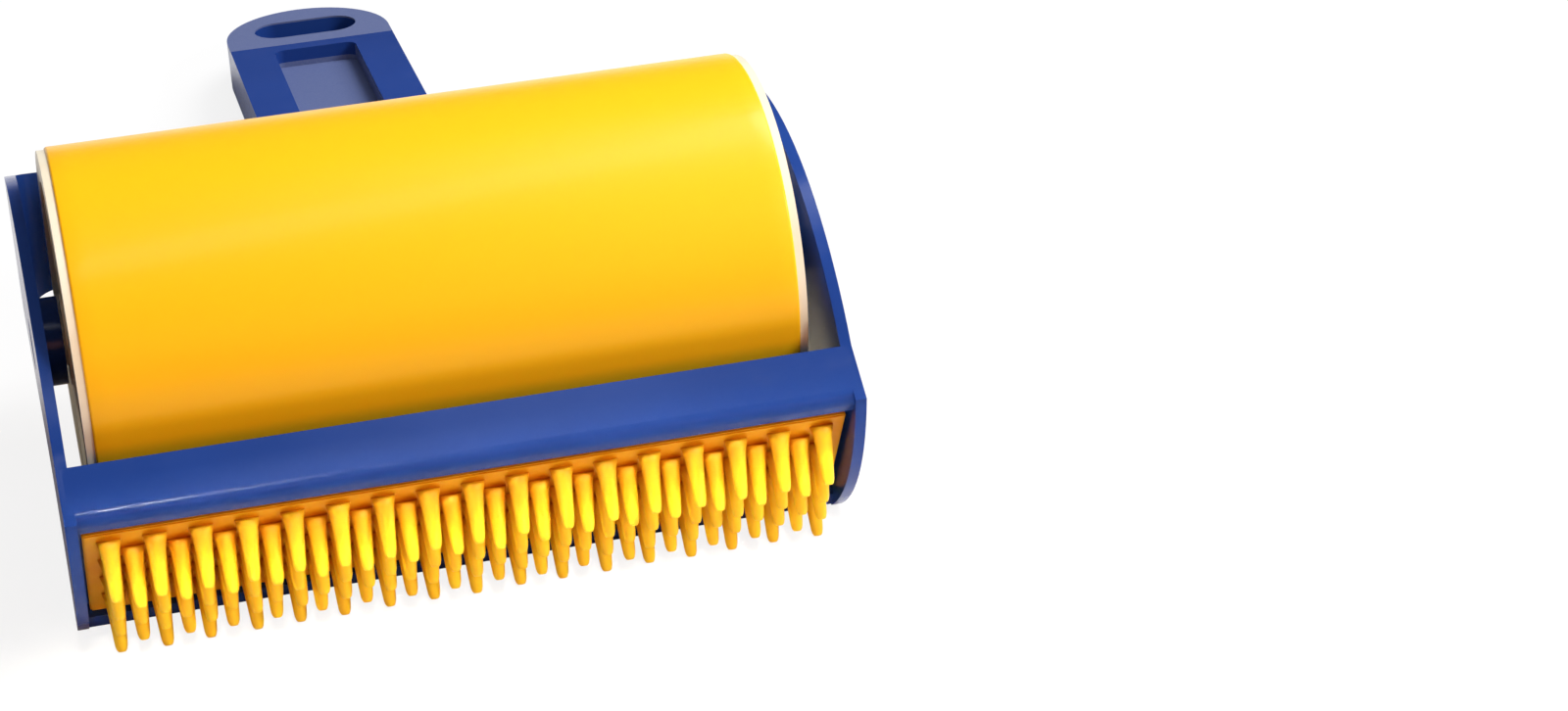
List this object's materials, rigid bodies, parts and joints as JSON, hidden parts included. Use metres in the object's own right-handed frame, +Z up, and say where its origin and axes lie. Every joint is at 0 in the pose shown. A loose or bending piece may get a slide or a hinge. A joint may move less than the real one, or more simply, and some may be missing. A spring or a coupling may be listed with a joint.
{
  "type": "pet hair removal brush",
  "caption": "Handled hair removal roller: a sticky roller between two arms, with a sloped front bar that carries a pad of rubber fingers.",
  "frame": {"origin": "centre of the bounding box in X and Y, on the surface that the tool rests on", "axes": "+X along the roller's axle, to the right when held; +Y from the finger bar towards the handle's end; +Z up"},
  "size_m": [0.1524, 0.2268, 0.0784],
  "materials": {
    "frame_plastic": "glossy moulded",
    "finger_rubber": "satin",
    "core_plastic": "moulded",
    "sleeve_rubber": "tacky, glossy",
    "cap_plastic": "moulded"
  },
  "bodies": {
    "frame": {"frame": "frame_plastic", "finger_pad": "finger_rubber"},
    "roller": {"roller_core": "core_plastic", "sticky_sleeve": "sleeve_rubber", "end_cap_left": "cap_plastic", "end_cap_right": "cap_plastic"}
  },
  "joints": [
    {"name": "roller_spin", "type": "hinge", "parent": "frame", "child": "roller", "pos_m": [0, -0.05608, 0.04087], "axis": [1, 0, 0], "continuous": true}
  ]
}
